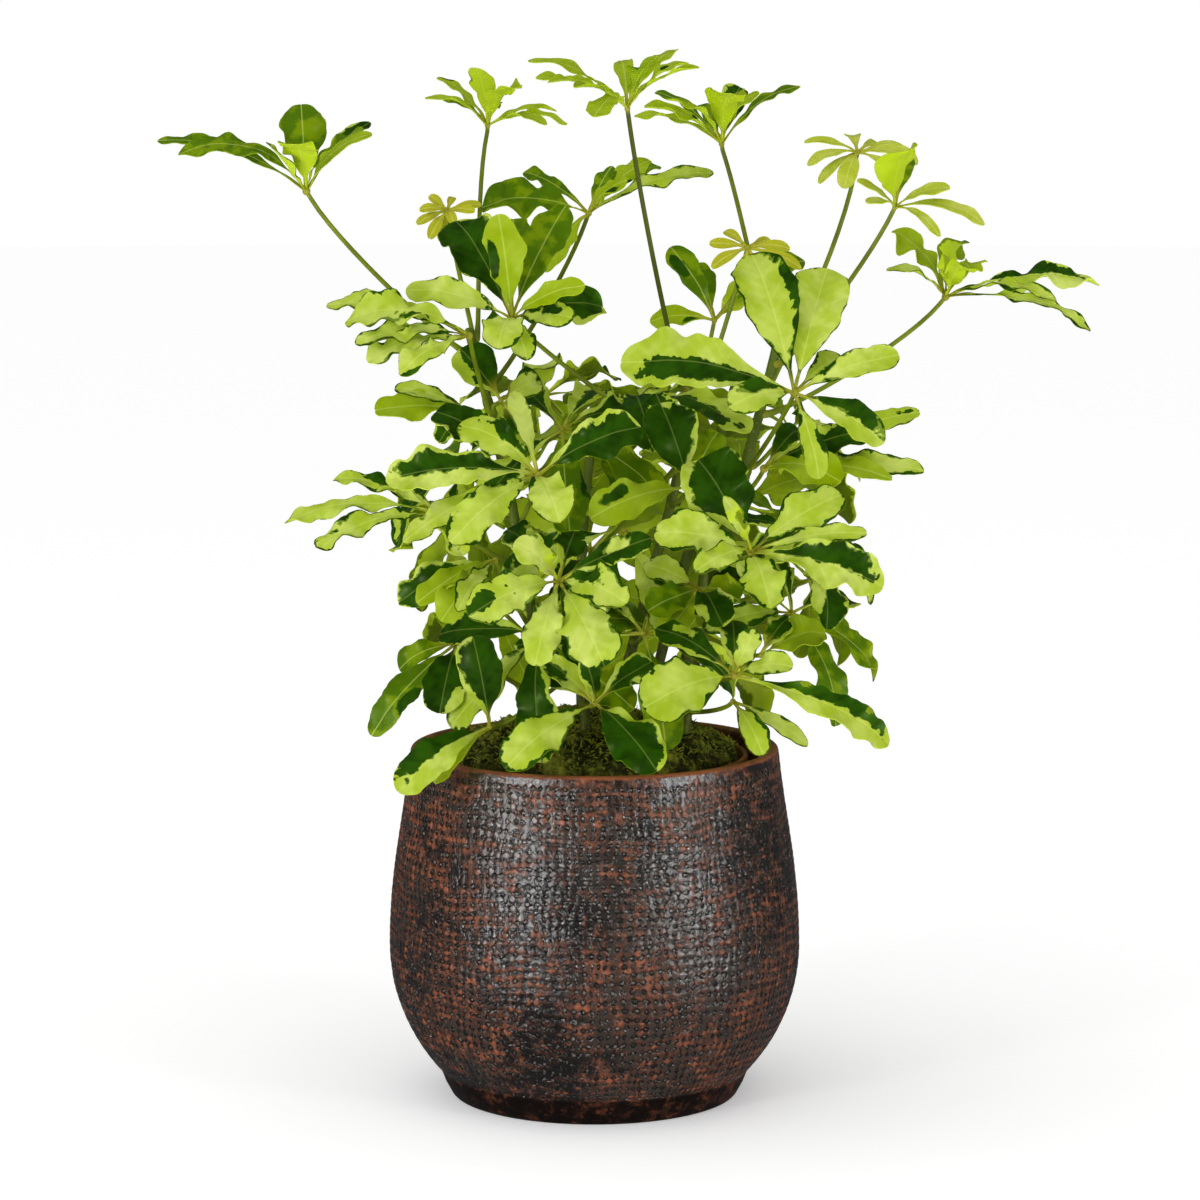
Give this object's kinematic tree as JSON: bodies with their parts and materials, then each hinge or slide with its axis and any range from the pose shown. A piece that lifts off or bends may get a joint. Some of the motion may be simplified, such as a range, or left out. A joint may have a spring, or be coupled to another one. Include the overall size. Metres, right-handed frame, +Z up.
{
  "type": "potted umbrella plant",
  "caption": "Bushy variegated umbrella plant with waved leaflets on woody canes, standing in a round woven-imprint ceramic pot with a flat foot.",
  "frame": {"origin": "centre of the pot's flat foot, on the surface that it stands on", "axes": "+Z up, +X to the picture's right, -Y towards the picture's viewer"},
  "size_m": [0.462, 0.2631, 0.5237],
  "materials": {
    "pot": "satin",
    "nursery_pot": "matte",
    "soil": "matte",
    "moss": "matte",
    "cane": "matte",
    "leaf": "satin",
    "young_leaf": "satin"
  },
  "bodies": {
    "root": {"pot": "pot", "nursery_pot": "nursery_pot", "soil": "soil", "moss": "moss", "cane_left": "cane", "cane_centre": "cane", "cane_right": "cane", "cane_right_twin": "cane", "cane_back": "cane", "cane_back_right": "cane", "cane_front": "cane", "cane_low_right": "cane", "leaf_top_left": "leaf", "leaf_top_mid_left": "leaf", "leaf_top_centre": "leaf", "leaf_top_mid_right": "leaf", "leaf_young_right": "young_leaf", "leaf_right_upper": "leaf", "leaf_right_far": "leaf", "leaf_young_centre": "young_leaf", "leaf_young_left": "young_leaf", "leaf_right_front": "leaf", "leaf_left_crown": "leaf", "leaf_left_wavy": "leaf", "leaf_upper_back": "leaf", "leaf_left_mid": "leaf", "leaf_left_far": "leaf", "leaf_front_mid": "leaf", "leaf_left_low": "leaf", "leaf_right_mid": "leaf", "leaf_front_low": "leaf", "leaf_right_low": "leaf", "leaf_rim_left": "leaf", "leaf_low_far_left": "leaf", "leaf_rim_right": "leaf", "leaf_left_inner": "leaf", "leaf_low_far_right": "leaf", "leaf_right_inner": "leaf", "leaf_centre_inner": "leaf", "leaf_upper_inner": "leaf", "leaf_low_inner": "leaf", "leaf_left_core": "leaf", "leaf_inner_1": "leaf", "leaf_inner_2": "leaf", "leaf_inner_3": "leaf", "leaf_inner_4": "leaf", "leaf_inner_5": "leaf", "leaf_inner_6": "leaf", "leaf_inner_7": "leaf", "leaf_inner_8": "leaf", "leaf_back_1": "leaf", "leaf_back_2": "leaf", "leaf_back_3": "leaf", "leaf_back_4": "leaf", "leaf_back_5": "leaf", "leaf_back_6": "leaf", "leaf_back_7": "leaf", "leaf_back_8": "leaf", "leaf_back_9": "leaf"}
  },
  "joints": []
}
